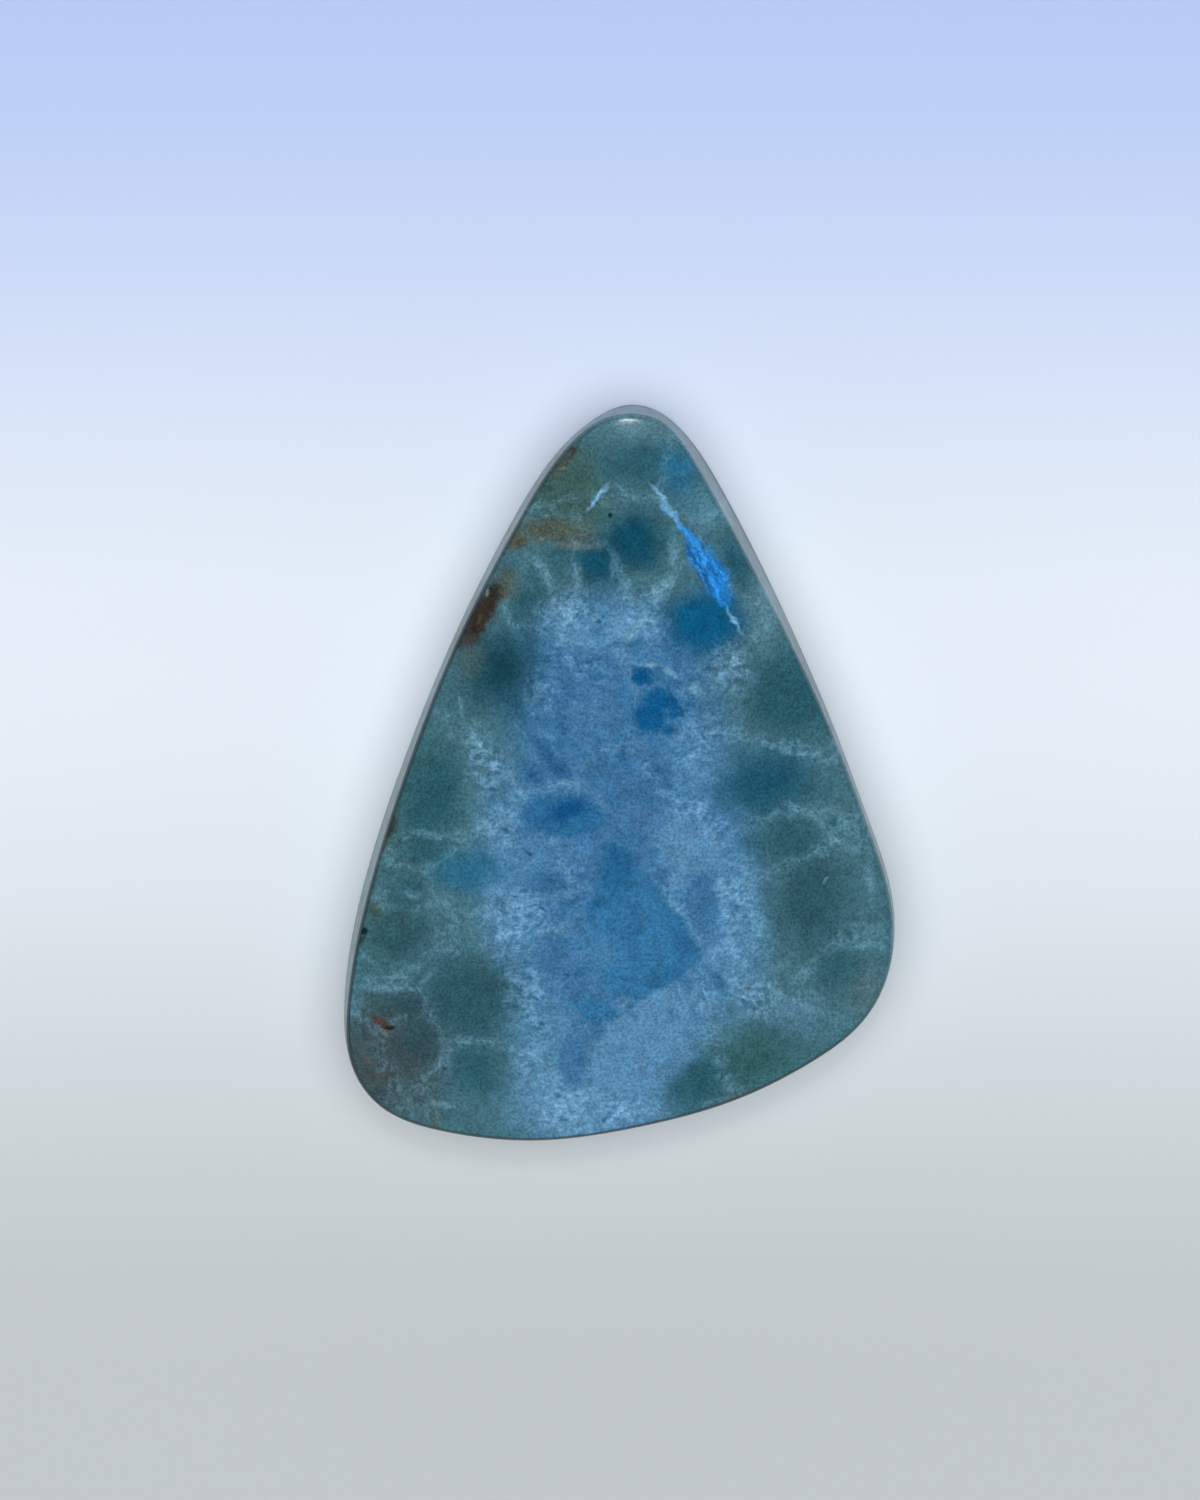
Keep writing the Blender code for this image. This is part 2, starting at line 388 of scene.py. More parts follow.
        (9.4, 2.3, 10.4, 1.8, 0.18, "vein", 0.50),
        (10.0, 1.9, 12.2, 1.9, 0.18, "vein", 0.45),
        (9.6, -1.0, 11.4, -1.5, 0.20, "vein", 0.50),
        (11.2, -1.4, 12.4, -2.6, 0.20, "vein", 0.50),
        (12.2, -2.6, 13.5, -3.7, 0.18, "vein", 0.50),
        (-5.7, -0.3, -3.8, 0.35, 0.30, "vein", 0.45),
        (-3.9, 0.35, -1.6, 0.0, 0.32, "vein", 0.50),
        (-1.7, 0.0, -0.6, -1.5, 0.24, "vein", 0.40),
        (2.2, -5.6, 4.0, -7.8, 0.24, "vein", 0.30),
        (4.0, -7.8, 5.2, -10.2, 0.26, "vein", 0.30),
        (5.0, -10.1, 7.6, -12.4, 0.26, "vein", 0.45),
        (-15.8, -12.2, -11.9, -12.0, 0.22, "vein", 0.50),
        (-12.2, -12.0, -10.8, -10.9, 0.18, "vein", 0.35),
        (-10.5, -15.0, -6.9, -15.3, 0.22, "vein", 0.35),
        (-10.1, -15.3, -10.2, -17.8, 0.26, "vein", 0.30),
        (-12.7, -2.9, -8.8, -2.8, 0.26, "vein", 0.35),
        (-14.0, -4.9, -12.7, -4.6, 0.18, "vein", 0.45),
        (-13.3, -6.3, -11.3, -6.6, 0.20, "vein", 0.35),
        (-14.8, -7.2, -13.6, -6.0, 0.16, "vein", 0.30),
        (-11.2, -19.1, -9.6, -19.3, 0.20, "vein", 0.60),
        (13.2, -8.2, 15.8, -8.3, 0.16, "vein", 0.28),
        (13.1, -9.7, 15.6, -9.6, 0.16, "vein", 0.28),
        (13.1, -8.1, 13.1, -9.8, 0.14, "vein", 0.22),
        (14.9, -4.3, 14.9, -7.0, 0.30, "vein", 0.40),
        (12.0, -5.8, 12.5, -5.4, 0.10, "frost", 0.70),
        (-0.4, 18.0, 0.8, 17.0, 0.12, "vein", 0.35),
        (-14.3, -10.9, -15.8, -9.7, 0.14, "vein", 0.30),
        (5.4, -19.2, 7.4, -18.7, 0.22, "vein", 0.35),
        (-2.0, -8.2, -5.4, -8.6, 0.40, "frost", 0.35),
    ],
    # iron-stained places at the rim
    "stains": [
        (-3.9, 15.2, 3.4, 1.1, 0, "khaki", 0.90, 0.2),
        (-6.2, 14.6, 1.3, 1.0, 0, "khaki", 0.90, 0.2),
        (-5.9, 14.5, 0.9, 0.45, 20, "ochre", 0.60, 0.1),
        (-4.4, 15.2, 0.6, 0.5, 0, "khakiDark", 0.90, 0.1),
        (-4.6, 14.6, 0.40, 0.3, 0, "sand", 0.70, 0.1),
        (-1.9, 14.75, 1.1, 0.25, 10, "khakiDark", 0.90, 0.1),
        (-2.6, 14.3, 2.2, 0.34, 0, "sand", 0.40, 0.1),
        (-3.3, 18.75, 0.25, 0.18, 0, "sand", 0.80, 0.2),
        (-2.75, 19.75, 0.26, 1.0, -40, "rust", 0.90, 0.2),
        (-6.7, 12.0, 1.2, 1.5, 0, "khaki", 0.80, 0.1),
        (-8.9, 7.6, 1.4, 2.0, -20, "khaki", 0.42, 0.0),
        (-8.1, 10.2, 1.0, 2.9, -30, "rust", 1.00, 0.35),
        (-7.4, 11.6, 0.6, 0.9, -10, "rustDark", 0.80, 0.1),
        (-8.6, 9.2, 0.55, 1.0, -30, "rustDark", 0.60, 0.1),
        (-8.9, 8.6, 0.5, 0.6, -20, "ochre", 0.50, 0.1),
        (-7.75, 11.5, 0.14, 0.32, -20, "sand", 0.90, 0.1),
        (-6.95, 11.5, 0.20, 0.5, 0, "ochre", 0.70, 0.1),
        (-8.3, 9.9, 0.14, 0.6, -30, "ochre", 0.70, 0.1),
        (-13.6, -2.6, 0.5, 1.6, -20, "rust", 0.80, 0.1),
        (-13.9, -3.5, 0.3, 0.6, 0, "ochre", 0.50, 0.1),
        (-13.0, -3.4, 0.3, 0.4, 0, "slate", 0.80, 0.1),
        (-12.4, -4.4, 0.4, 0.3, 0, "slate", 0.70, 0.1),
        (-12.0, -5.9, 0.5, 0.4, 30, "slate", 0.60, 0.1),
        (-14.6, -7.4, 0.6, 0.8, 0, "khakiDark", 0.70, 0.1),
        (-15.3, -9.2, 0.25, 0.6, -20, "rustDark", 0.70, 0.1),
        (-14.2, -14.2, 0.9, 0.36, -30, "ember", 0.95, 0.3),
        (-13.7, -14.5, 0.55, 0.22, -20, "rustDark", 0.95, 0.2),
        (-14.6, -13.9, 0.35, 0.26, 20, "ember", 0.90, 0.2),
        (-14.0, -14.9, 0.60, 0.16, -20, "sand", 0.45, 0.1),
        (-14.6, -14.75, 0.4, 0.3, 0, "greyMoss", 0.70, 0.1),
        (-15.1, -16.6, 0.50, 0.5, 0, "ochre", 0.55, 0.1),
        (-14.3, -17.5, 1.1, 0.8, 0, "khakiDark", 0.75, 0.1),
        (-14.2, -17.7, 0.5, 0.3, 0, "greyTeal", 0.70, 0.1),
        (-11.0, -20.2, 0.6, 1.2, 0, "khaki", 0.60, 0.1),
        (-11.1, -19.1, 0.34, 0.26, 0, "sand", 0.50, 0.1),
        (-10.9, -19.9, 0.28, 1.2, 10, "greyCyan", 0.40, 0.1),
        (-11.5, -19.7, 0.26, 1.0, 10, "greyCyan", 0.35, 0.1),
        (7.0, -18.8, 1.8, 0.45, 20, "khakiDark", 0.60, 0.1),
        (5.3, -19.2, 1.0, 0.5, 10, "greyCyan", 0.45, 0.1),
        (-9.4, 8.9, 0.5, 2.6, -30, "rust", 0.70, 0.2),
        (-3.4, 19.0, 0.5, 1.5, -40, "khakiDark", 0.70, 0.2),
    ],
    # dark specks
    "specks": [
        (-0.48, 16.1, 0.20, 0.20, 0, "inkSpeckAndShade", 1.00, 0.4),
        (-15.2, -8.7, 0.36, 0.32, 0, "inkSpeckAndShade", 1.00, 0.4),
        (-4.3, 9.3, 0.22, 0.16, 0, "stipple", 0.80, 0.2),
        (-1.2, 9.85, 0.22, 0.16, 0, "stipple", 0.85, 0.2),
        (4.4, 8.8, 0.20, 0.16, 0, "stipple", 0.85, 0.2),
        (12.7, -2.2, 0.30, 0.45, 0, "seaGreen", 0.80, 0.2),
        (13.75, -8.8, 0.45, 0.35, 0, "seaGreen", 0.80, 0.2),
        (-7.6, -0.1, 0.35, 0.2, 0, "stipple", 0.75, 0.2),
        (-6.7, -2.5, 0.5, 0.22, -20, "stipple", 0.75, 0.2),
        (-5.4, -3.8, 0.55, 0.16, -30, "stipple", 0.75, 0.2),
        (-5.7, -6.1, 0.4, 0.16, 0, "stipple", 0.75, 0.2),
        (-4.5, -7.2, 0.4, 0.16, -30, "stipple", 0.75, 0.2),
        (-5.5, -10.4, 0.35, 0.2, 0, "stipple", 0.75, 0.2),
        (-5.4, -11.4, 0.35, 0.2, 0, "stipple", 0.75, 0.2),
        (-3.0, -11.2, 0.3, 0.2, 0, "stipple", 0.70, 0.2),
        (-4.6, -14.2, 0.35, 0.25, 0, "stipple", 0.70, 0.2),
        (-3.7, -18.6, 0.4, 0.2, 0, "stipple", 0.70, 0.2),
        (-3.4, -20.1, 0.4, 0.12, 0, "stipple", 0.75, 0.2),
        (-0.6, -20.0, 0.25, 0.15, 0, "stipple", 0.60, 0.2),
        (-10.3, -17.0, 0.4, 0.14, 0, "inkSpeckAndShade", 0.50, 0.2),
    ],
    # painted reflection: a feathery bright blue streak of mirrored light near the right shoulder, and a small one
    # beside it
    "paintedReflection": [
        (5.0, 13.1, 0.95, 2.8, 30, "reflectionDeep", 0.95, 0.2),
        (5.95, 12.4, 0.65, 2.3, 20, "reflectionBlue", 0.90, 0.2),
        (4.55, 13.3, 0.45, 1.7, 30, "reflectionDeep", 0.90, 0.2),
        (2.35, 17.3, 0.22, 1.1, 40, "reflectionPale", 0.95, 0.1),
        (3.1, 16.1, 0.36, 1.4, 40, "reflectionPale", 0.95, 0.1),
        (4.0, 15.0, 0.30, 1.5, 40, "reflectionBright", 0.85, 0.1),
        (4.9, 13.8, 0.24, 1.5, 30, "reflectionBright", 0.90, 0.1),
        (5.5, 12.2, 0.26, 1.9, 20, "reflectionBright", 0.90, 0.1),
        (5.9, 11.3, 0.40, 1.2, 30, "reflectionBlue", 0.90, 0.1),
        (6.75, 9.9, 0.20, 1.4, 30, "reflectionPale", 0.85, 0.1),
        (-1.2, 17.2, 0.22, 1.35, -40, "reflectionPale", 1.00, 0.2),
    ],
    "paintedReflectionBody": [
        (5.2, 13.0, 1.05, 2.9, 30, "reflectionBright", 0.90, 0.4),
        (3.3, 15.8, 0.40, 1.9, 40, "reflectionBright", 0.50, 0.2),
    ],
}


def turnedPoint(tree, points, turn):
    # the point in mm, seen in axes turned by so many degrees; each turn is made once
    if turn not in points:
        cosine, sine = math.cos(math.radians(turn)), math.sin(math.radians(turn))
        across = addNode(tree, "ShaderNodeVectorMath", {"operation": "DOT_PRODUCT"}, {
            0: points[0], 1: (cosine, sine, 0.0),
        })
        along = addNode(tree, "ShaderNodeVectorMath", {"operation": "DOT_PRODUCT"}, {
            0: points[0], 1: (-sine, cosine, 0.0),
        })
        points[turn] = addNode(tree, "ShaderNodeCombineXYZ", {}, {
            "X": across.outputs["Value"], "Y": along.outputs["Value"],
        }).outputs[0]
    return points[turn]


def spotMask(tree, points, spot):
    # a soft ellipse that runs down through the stone like a column
    x, y, across, along, turn, colour, strength, core = spot
    cosine, sine = math.cos(math.radians(turn)), math.sin(math.radians(turn))
    local = addNode(tree, "ShaderNodeVectorMath", {"operation": "MULTIPLY_ADD"}, {
        0: turnedPoint(tree, points, turn),
        1: (1.0 / across, 1.0 / along, 0.0),
        2: (-(x * cosine + y * sine) / across, -(y * cosine - x * sine) / along, 0.0),
    })
    reach = addNode(tree, "ShaderNodeVectorMath", {"operation": "LENGTH"}, {0: local.outputs[0]})
    fade = addNode(tree, "ShaderNodeMapRange", {"interpolation_type": "SMOOTHSTEP", "clamp": False}, {
        "Value": reach.outputs["Value"],
        "From Min": core, "From Max": 1.0, "To Min": strength, "To Max": 0.0,
    })
    return reach.outputs["Value"], fade.outputs[0]


def mixColour(tree, mask, colour, name):
    return addNode(tree, "ShaderNodeMix", {"data_type": "RGBA"}, {
        0: mask, 6: colour, 7: linearColour(stonePalette[name]),
    }).outputs[2]


def paintSpots(tree, points, colour, spots):
    for spot in spots:
        colour = mixColour(tree, spotMask(tree, points, spot)[1], colour, spot[5])
    return colour


def lineSpots(lines):
    # a thin line is a long thin ellipse, a little longer than it says so that chained ones meet
    spots = []
    for fromX, fromY, toX, toY, halfWidth, colour, strength in lines:
        reach = math.dist((fromX, fromY), (toX, toY)) / 2.0
        turn = round(math.degrees(math.atan2(toY - fromY, toX - fromX)) / 10.0) * 10 - 90
        spots.append((
            (fromX + toX) / 2.0, (fromY + toY) / 2.0,
            halfWidth * 1.7, reach * 1.3, turn, colour, strength, 0.0,
        ))
    return spots


def highest(tree, points, spots):
    # one mask out of many spots
    combined = None
    for spot in spots:
        mask = spotMask(tree, points, spot)[1]
        if combined is not None:
            mask = addNode(tree, "ShaderNodeMath", {"operation": "MAXIMUM"}, {
                0: combined, 1: mask,
            }).outputs[0]
        combined = mask
    return combined


def cellMask(tree, points, corners):
    # inside a cell with straight sides, given clockwise
    inside = None
    for here, ahead in zip(corners, corners[1:] + corners[:1]):
        length = math.dist(here[:2], ahead[:2])
        inward = ((ahead[1] - here[1]) / length, (here[0] - ahead[0]) / length, 0.0)
        start = inward[0] * here[0] + inward[1] * here[1]
        depth = addNode(tree, "ShaderNodeVectorMath", {"operation": "DOT_PRODUCT"}, {
            0: points[0], 1: inward,
        })
        side = addNode(tree, "ShaderNodeMapRange", {"interpolation_type": "SMOOTHSTEP", "clamp": False}, {
            "Value": depth.outputs["Value"],
            "From Min": start - here[2] / 2.0, "From Max": start + here[2] / 2.0,
        }).outputs[0]
        if inside is not None:
            side = addNode(tree, "ShaderNodeMath", {"operation": "MINIMUM"}, {
                0: inside, 1: side,
            }).outputs[0]
        inside = side
    return inside


def paintHearts(tree, points, colour, hearts):
    # besides their colour, this finds the nearest heart's place, and how near it and the next one are
    nearest = second = heartAt = None
    for heart in hearts:
        reach, mask = spotMask(tree, points, heart)
        colour = mixColour(tree, mask, colour, heart[5])
        here = (heart[0], heart[1], 0.0)
        if nearest is None:
            nearest, second, heartAt = reach, 9.0, here
            continue
        closer = addNode(tree, "ShaderNodeMath", {"operation": "LESS_THAN"}, {0: reach, 1: nearest})
        heartAt = addNode(tree, "ShaderNodeMix", {"data_type": "VECTOR"}, {
            0: closer.outputs[0], 4: heartAt, 5: here,
        }).outputs[1]
        farther = addNode(tree, "ShaderNodeMath", {"operation": "MAXIMUM"}, {0: reach, 1: nearest})
        second = addNode(tree, "ShaderNodeMath", {"operation": "MINIMUM"}, {
            0: farther.outputs[0], 1: second,
        }).outputs[0]
        nearest = addNode(tree, "ShaderNodeMath", {"operation": "MINIMUM"}, {
            0: reach, 1: nearest,
        }).outputs[0]
    return colour, nearest, second, heartAt


def bentPoint(tree, point, readAt, scale, detail, amount):
    # the point pushed about sideways by a noise
    noise = addNode(tree, "ShaderNodeTexNoise", {}, {
        "Vector": readAt, "Scale": scale, "Detail": detail, "Roughness": 0.55,
    })
    centred = addNode(tree, "ShaderNodeVectorMath", {"operation": "SUBTRACT"}, {
        0: noise.outputs["Color"], 1: (0.5, 0.5, 0.5),
    })
    return addNode(tree, "ShaderNodeVectorMath", {"operation": "MULTIPLY_ADD"}, {
        0: centred.outputs[0], 1: (amount, amount, 0.0), 2: point,
    }).outputs[0]


def polishedPectolite():
    material = bpy.data.materials.new("polished pectolite")
    material.use_nodes = True
    tree = material.node_tree
    shader = tree.nodes["Principled BSDF"]
    shader.inputs["IOR"].default_value = 1.6
    place = addNode(tree, "ShaderNodeTexCoord", {}, {})
    inMm = addNode(tree, "ShaderNodeMapping", {}, {
        "Vector": place.outputs["Object"], "Location": (0.0, 0.34, 0.0), "Scale": (1.0 / mm, 1.0 / mm, 1.0 / mm),
    }).outputs[0]

    # Growth bends every outline: a slow drift for the clouds, a finer one for veins and edges.
    softly = {0: bentPoint(tree, inMm, inMm, 0.4, 3.0, 1.6)}
    raggedly = {0: bentPoint(tree, inMm, softly[0], 1.8, 3.0, 0.8)}
    gently = {0: bentPoint(tree, inMm, softly[0], 0.9, 3.0, 0.55)}
    mottle = addNode(tree, "ShaderNodeTexNoise", {}, {
        "Vector": inMm, "Scale": 1.1, "Detail": 4.0, "Roughness": 0.62,
    })

    colour = paintSpots(tree, softly, linearColour(stonePalette["rimTeal"]), stonePattern["zones"])
    colour, nearest, second, heartAt = paintHearts(tree, softly, colour, stonePattern["hearts"])

    # Pale needles point away from the hearts.
    arm = addNode(tree, "ShaderNodeVectorMath", {"operation": "SUBTRACT"}, {0: softly[0], 1: heartAt})
    along = addNode(tree, "ShaderNodeVectorMath", {"operation": "NORMALIZE"}, {0: arm.outputs[0]})
    outwards = addNode(tree, "ShaderNodeMath", {"operation": "MULTIPLY"}, {0: nearest, 1: 2.8})
    depth = addNode(tree, "ShaderNodeCombineXYZ", {}, {"Z": outwards.outputs[0]})
    fan = addNode(tree, "ShaderNodeVectorMath", {"operation": "MULTIPLY_ADD"}, {
        0: along.outputs[0], 1: (20.0, 20.0, 0.0), 2: depth.outputs[0],
    })
    needles = addNode(tree, "ShaderNodeTexNoise", {}, {
        "Vector": fan.outputs[0], "Scale": 1.0, "Detail": 3.0, "Roughness": 0.6,
    })
    bright = addNode(tree, "ShaderNodeMapRange", {}, {
        "Value": needles.outputs["Fac"], "From Min": 0.40, "From Max": 0.62, "To Min": 0.02, "To Max": 1.0,
    }).outputs[0]
    cloud = addNode(tree, "ShaderNodeMapRange", {}, {
        "Value": mottle.outputs["Fac"], "From Min": 0.36, "From Max": 0.60, "To Min": 0.55, "To Max": 1.1,
    }).outputs[0]
    bright = addNode(tree, "ShaderNodeMath", {"operation": "MULTIPLY"}, {0: bright, 1: cloud}).outputs[0]
    fringe = addNode(tree, "ShaderNodeMapRange", {"interpolation_type": "SMOOTHSTEP", "clamp": False}, {
        "Value": nearest, "From Min": 0.45, "From Max": 1.10, "To Min": 0.0, "To Max": 0.16,
    })
    frost = highest(tree, softly, stonePattern["frost"])
    within = spotMask(tree, softly, stonePattern["fringeWithin"])[1]
    fringed = addNode(tree, "ShaderNodeMath", {"operation": "MULTIPLY"}, {0: fringe.outputs[0], 1: within})
    frosted = addNode(tree, "ShaderNodeMath", {"operation": "MAXIMUM"}, {0: frost, 1: fringed.outputs[0]})
    amount = addNode(tree, "ShaderNodeMath", {"operation": "MULTIPLY"}, {
        0: frosted.outputs[0], 1: bright,
    })
    colour = mixColour(tree, amount.outputs[0], colour, "frost")

    # A faint web where the sprays of two hearts meet.
    between = addNode(tree, "ShaderNodeMath", {"operation": "SUBTRACT"}, {0: second, 1: nearest})
    web = addNode(tree, "ShaderNodeMapRange", {"interpolation_type": "SMOOTHSTEP", "clamp": False}, {
        "Value": between.outputs[0], "From Min": 0.0, "From Max": 0.36, "To Min": 0.34, "To Max": 0.0,
    })
    amount = addNode(tree, "ShaderNodeMath", {"operation": "MULTIPLY"}, {0: web.outputs[0], 1: bright})
    colour = mixColour(tree, amount.outputs[0], colour, "vein")

    # Dark specks among the needles.
    flecks = addNode(tree, "ShaderNodeMapping", {}, {
        "Vector": softly[0], "Rotation": (0.0, 0.0, 0.4), "Scale": (1.0, 1.7, 0.0),
    })
    cells = addNode(tree, "ShaderNodeTexVoronoi", {}, {"Vector": flecks.outputs[0], "Scale": 1.15})
    fleck = addNode(tree, "ShaderNodeMapRange", {"interpolation_type": "SMOOTHSTEP", "clamp": False}, {
        "Value": cells.outputs["Distance"], "From Min": 0.08, "From Max": 0.34, "To Min": 0.75, "To Max": 0.0,
    })
    amount = addNode(tree, "ShaderNodeMath", {"operation": "MULTIPLY"}, {0: frost, 1: fleck.outputs[0]})
    colour = mixColour(tree, amount.outputs[0], colour, "stipple")

    # Blue cells with straight sides, and the pale fan below them.
    kite = cellMask(tree, gently, stonePattern["kite"])
    colour = mixColour(tree, kite, colour, "poolBlue")
    colour = paintSpots(tree, gently, colour, stonePattern["kiteTones"])
    colour = mixColour(tree, cellMask(tree, gently, stonePattern["fan"]), colour, "mistPale")

    colour = paintSpots(tree, raggedly, colour, stonePattern["patches"])
    colour = paintSpots(tree, gently, colour, lineSpots(stonePattern["strokes"]))
    veins = highest(tree, gently, lineSpots(stonePattern["veins"]))
    thread = addNode(tree, "ShaderNodeMapRange", {}, {
        "Value": needles.outputs["Fac"], "From Min": 0.38, "From Max": 0.60, "To Min": 0.38, "To Max": 1.15,
    })
    amount = addNode(tree, "ShaderNodeMath", {"operation": "MULTIPLY"}, {0: veins, 1: thread.outputs[0]})
    colour = mixColour(tree, amount.outputs[0], colour, "vein")
    colour = paintSpots(tree, raggedly, colour, stonePattern["stains"])
    colour = paintSpots(tree, gently, colour, stonePattern["specks"])
    # Painted reflection: the streak is drawn in strands that lie along it, the lighter ones a painted highlight
    # and the darker ones painted shade.
    colour = paintSpots(tree, raggedly, colour, stonePattern["paintedReflection"])
    reflectionStrands = addNode(tree, "ShaderNodeVectorMath", {"operation": "MULTIPLY"}, {
        0: turnedPoint(tree, raggedly, 30), 1: (4.5, 0.55, 0.0),
    })
    reflectionStrand = addNode(tree, "ShaderNodeTexNoise", {}, {
        "Vector": reflectionStrands.outputs[0], "Scale": 1.0, "Detail": 3.0, "Roughness": 0.6,
    })
    lit = addNode(tree, "ShaderNodeMapRange", {"interpolation_type": "SMOOTHSTEP", "clamp": False}, {
        "Value": reflectionStrand.outputs["Fac"], "From Min": 0.45, "From Max": 0.62,
    })
    shadowed = addNode(tree, "ShaderNodeMapRange", {"interpolation_type": "SMOOTHSTEP", "clamp": False}, {
        "Value": reflectionStrand.outputs["Fac"], "From Min": 0.40, "From Max": 0.48, "To Min": 0.55, "To Max": 0.0,
    })
    body = highest(tree, raggedly, stonePattern["paintedReflectionBody"])
    amount = addNode(tree, "ShaderNodeMath", {"operation": "MULTIPLY"}, {0: body, 1: lit.outputs[0]})
    colour = mixColour(tree, amount.outputs[0], colour, "reflectionBright")
    amount = addNode(tree, "ShaderNodeMath", {"operation": "MULTIPLY"}, {0: body, 1: shadowed.outputs[0]})
    colour = mixColour(tree, amount.outputs[0], colour, "reflectionShade")

    # Fine grain of the fibres. The real ones are about 0.03 mm across, too fine to show, so they are
    # drawn at about 0.15 mm.
    grain = addNode(tree, "ShaderNodeTexNoise", {}, {
        "Vector": inMm, "Scale": 6.0, "Detail": 2.0, "Roughness": 0.7,
    })
    lift = addNode(tree, "ShaderNodeMapRange", {}, {
        "Value": grain.outputs["Fac"], "From Min": 0.34, "From Max": 0.66, "To Min": 0.70, "To Max": 1.30,
    })
    drift = addNode(tree, "ShaderNodeMapRange", {}, {
        "Value": mottle.outputs["Fac"], "From Min": 0.34, "From Max": 0.66, "To Min": 0.85, "To Max": 1.14,
    })
    lift = addNode(tree, "ShaderNodeMath", {"operation": "MULTIPLY"}, {0: lift.outputs[0], 1: drift.outputs[0]})
    grained = addNode(tree, "ShaderNodeHueSaturation", {}, {"Value": lift.outputs[0], "Color": colour})

    # Painted shade: a thin dark line is painted on the rounded shoulder round the foot and the left side of the
    # face.
    facing = addNode(tree, "ShaderNodeSeparateXYZ", {}, {0: place.outputs["Normal"]})
    upper = addNode(tree, "ShaderNodeMapRange", {"interpolation_type": "SMOOTHSTEP", "clamp": False}, {
        "Value": facing.outputs["Z"], "From Min": 0.84, "From Max": 0.972, "To Min": 0.85, "To Max": 0.0,
    })
    lower = addNode(tree, "ShaderNodeMapRange", {"interpolation_type": "SMOOTHSTEP", "clamp": False}, {
        "Value": facing.outputs["Z"], "From Min": 0.14, "From Max": 0.26,
    })
    line = addNode(tree, "ShaderNodeMath", {"operation": "MULTIPLY"}, {
        0: upper.outputs[0], 1: lower.outputs[0],
    })
    leftwards = addNode(tree, "ShaderNodeMath", {"operation": "MULTIPLY"}, {0: facing.outputs["X"], 1: -0.7})
    footwards = addNode(tree, "ShaderNodeMath", {"operation": "MULTIPLY_ADD"}, {
        0: facing.outputs["Y"], 1: -1.0, 2: leftwards.outputs[0],
    })
    side = addNode(tree, "ShaderNodeMapRange", {"interpolation_type": "SMOOTHSTEP", "clamp": False}, {
        "Value": footwards.outputs[0], "From Min": -0.45, "From Max": 0.35, "To Min": 0.15, "To Max": 1.0,
    })
    line = addNode(tree, "ShaderNodeMath", {"operation": "MULTIPLY"}, {0: line.outputs[0], 1: side.outputs[0]})
    shadeLined = mixColour(tree, line.outputs[0], grained.outputs["Color"], "inkSpeckAndShade")

    # The wall is only ground smooth; its pale colour is a painted reflection of the bright floor it mirrors at a
    # grazing angle, and a band low on the wall, 0.9 to 1.9 mm above the back, is painted dark.
    wall = addNode(tree, "ShaderNodeMapRange", {"interpolation_type": "SMOOTHSTEP", "clamp": False}, {
        "Value": facing.outputs["Z"], "From Min": 0.12, "From Max": 0.28, "To Min": 1.0, "To Max": 0.0,
    }).outputs[0]
    reflectionPaleness = addNode(tree, "ShaderNodeMapRange", {}, {
        "Value": mottle.outputs["Fac"], "From Min": 0.35, "From Max": 0.62, "To Min": 0.34, "To Max": 0.52,
    })
    amount = addNode(tree, "ShaderNodeMath", {"operation": "MULTIPLY"}, {0: wall, 1: reflectionPaleness.outputs[0]})
    walled = mixColour(tree, amount.outputs[0], shadeLined, "wallPaleReflection")
    height = addNode(tree, "ShaderNodeSeparateXYZ", {}, {0: inMm})
    foot = addNode(tree, "ShaderNodeMapRange", {"interpolation_type": "SMOOTHSTEP", "clamp": False}, {
        "Value": height.outputs["Z"], "From Min": 1.4, "From Max": 1.9, "To Min": 0.7, "To Max": 0.0,
    })
    above = addNode(tree, "ShaderNodeMapRange", {"interpolation_type": "SMOOTHSTEP", "clamp": False}, {
        "Value": height.outputs["Z"], "From Min": 0.9, "From Max": 1.3,
    })
    edge = addNode(tree, "ShaderNodeMath", {"operation": "MULTIPLY"}, {0: foot.outputs[0], 1: above.outputs[0]})
    amount = addNode(tree, "ShaderNodeMath", {"operation": "MULTIPLY"}, {0: wall, 1: edge.outputs[0]})
    tree.links.new(mixColour(tree, amount.outputs[0], walled, "wallEdge"), shader.inputs["Base Color"])

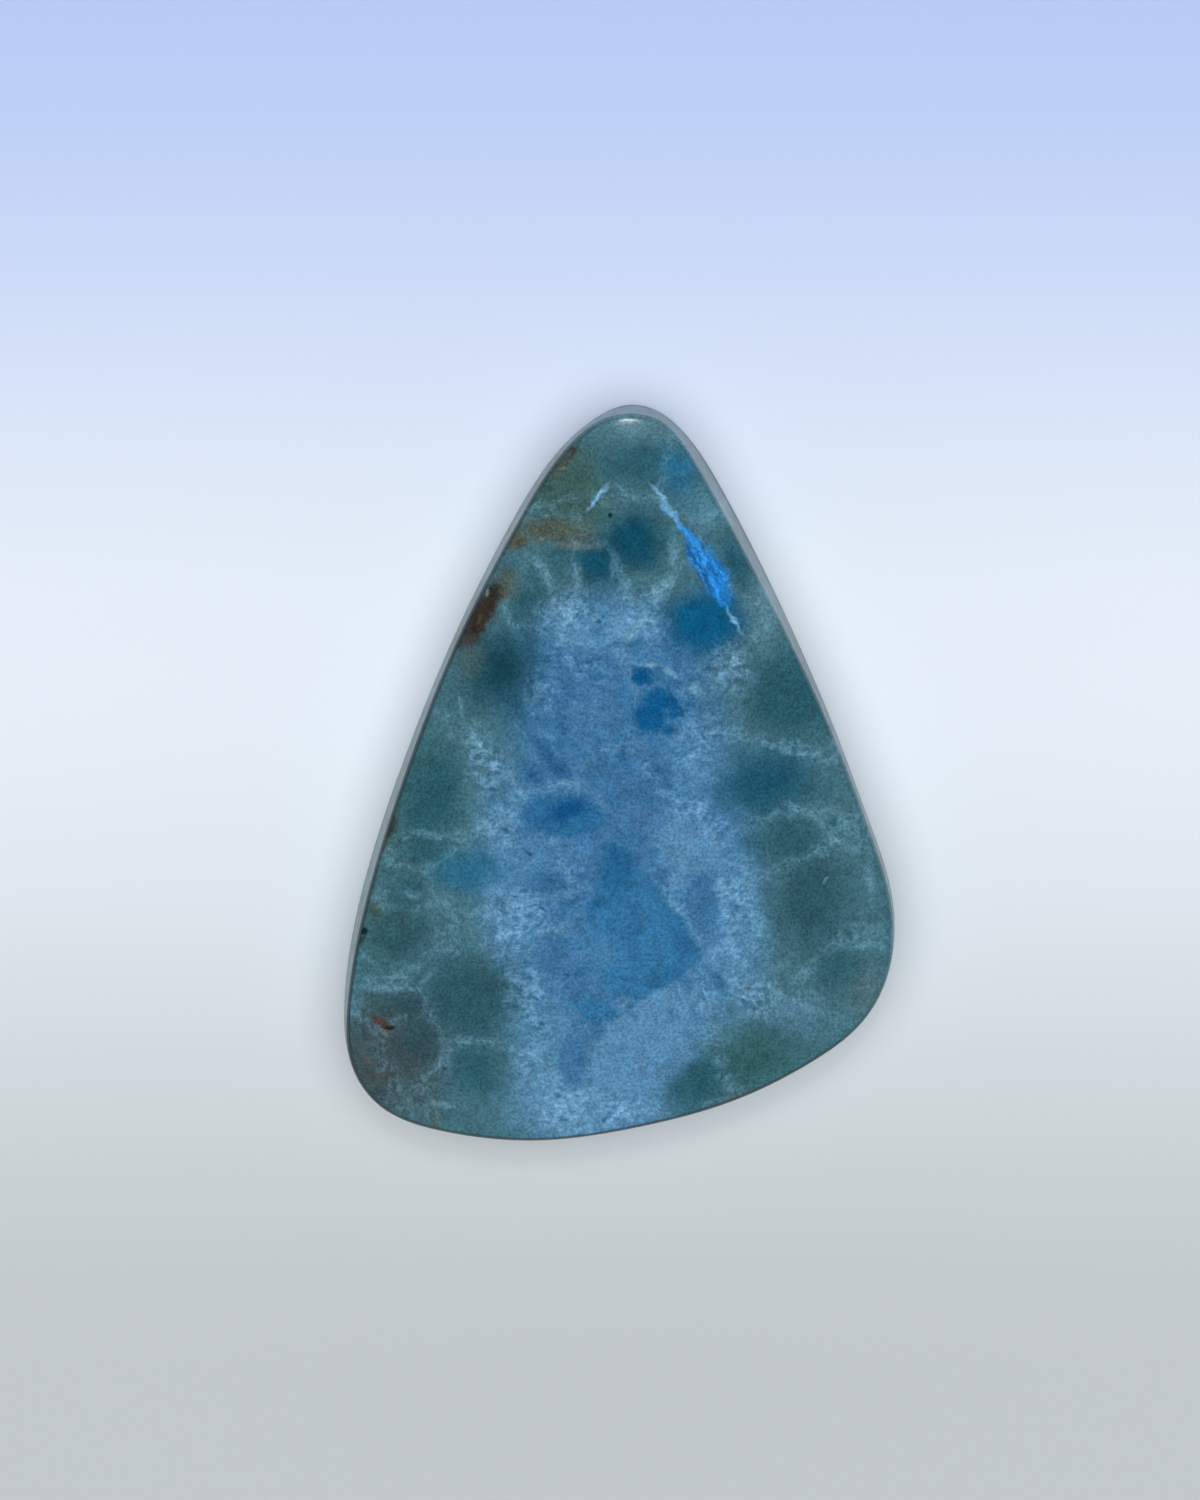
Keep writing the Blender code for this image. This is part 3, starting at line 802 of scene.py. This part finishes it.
    # The polish is a little uneven on the face, and the wall has none.
    polish = addNode(tree, "ShaderNodeMapRange", {}, {
        "Value": needles.outputs["Fac"], "From Min": 0.3, "From Max": 0.7, "To Min": 0.09, "To Max": 0.16,
    })
    dull = addNode(tree, "ShaderNodeMath", {"operation": "MULTIPLY"}, {0: wall, 1: 0.6})
    finish = addNode(tree, "ShaderNodeMath", {"operation": "MAXIMUM"}, {0: polish.outputs[0], 1: dull.outputs[0]})
    tree.links.new(finish.outputs[0], shader.inputs["Roughness"])
    pits = addNode(tree, "ShaderNodeBump", {}, {
        "Strength": 0.15, "Distance": 0.02 * mm, "Height": grain.outputs["Fac"],
    })
    tree.links.new(pits.outputs["Normal"], shader.inputs["Normal"])
    print("material: polished pectolite,", len(tree.nodes), "nodes")
    return material


stoneShape = {
    "subdivisions": 2,
}


def makeStone(setup):
    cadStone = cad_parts["larimar_cabochon"]
    bpy.ops.object.select_all(action="DESELECT")
    stone = cadStone.copy()
    stone.data = cadStone.data.copy()
    stone.parent = None
    bpy.context.collection.objects.link(stone)
    for key in list(stone.keys()):
        del stone[key]
    stone.name = "larimar_stone"
    stone.data.name = "larimar_stone"
    bpy.context.view_layer.objects.active = stone
    stone.select_set(True)

    bpy.ops.object.mode_set(mode="EDIT")
    bpy.ops.mesh.select_all(action="SELECT")
    bpy.ops.mesh.remove_doubles(threshold=0.000001)
    bpy.ops.mesh.tris_convert_to_quads(face_threshold=math.radians(60.0), shape_threshold=math.radians(60.0))
    bpy.ops.object.mode_set(mode="OBJECT")
    smoother = stone.modifiers.new("finer", "SUBSURF")
    smoother.levels = setup["subdivisions"]
    smoother.render_levels = setup["subdivisions"]
    bpy.ops.object.modifier_apply(modifier="finer")
    bpy.ops.object.shade_smooth()
    stone.data.materials.clear()
    stone.data.materials.append(polishedPectolite())
    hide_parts("larimar_cabochon")
    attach(stone, "root")
    print("stone:", len(stone.data.polygons), "faces")


bpy.context.scene.view_settings.view_transform = "Standard"
makeCamera(cameraSetup)
makeFloor(floorSetup)
makeLight(lightSetup)
makeStone(stoneShape)
